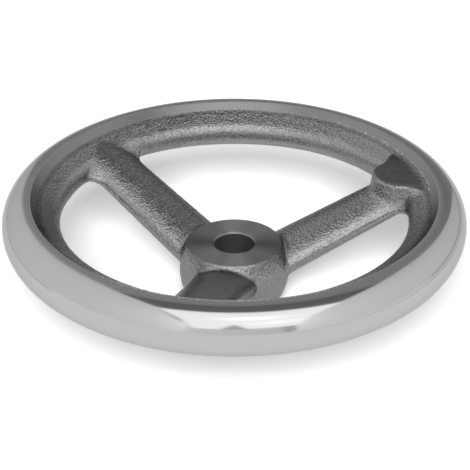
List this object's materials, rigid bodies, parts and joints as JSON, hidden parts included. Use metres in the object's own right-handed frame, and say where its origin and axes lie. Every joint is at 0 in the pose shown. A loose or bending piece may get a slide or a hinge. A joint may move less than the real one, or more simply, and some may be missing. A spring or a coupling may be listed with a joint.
{
  "type": "handwheel",
  "caption": "Dished cast handwheel with a polished round rim, three sloping spokes, a bored hub and a flat boss for a crank handle.",
  "frame": {"origin": "on the bore's axis, in the back face of the hub, which the wheel stands on", "axes": "+Z along the bore towards the rim's crown; +X out through the spoke that carries the boss"},
  "size_m": [0.16, 0.16, 0.04],
  "materials": {
    "cast_iron": "rim turned and polished, hub faces turned, spokes and inner rim as cast"
  },
  "bodies": {
    "root": {"handwheel": "cast_iron"}
  },
  "joints": []
}
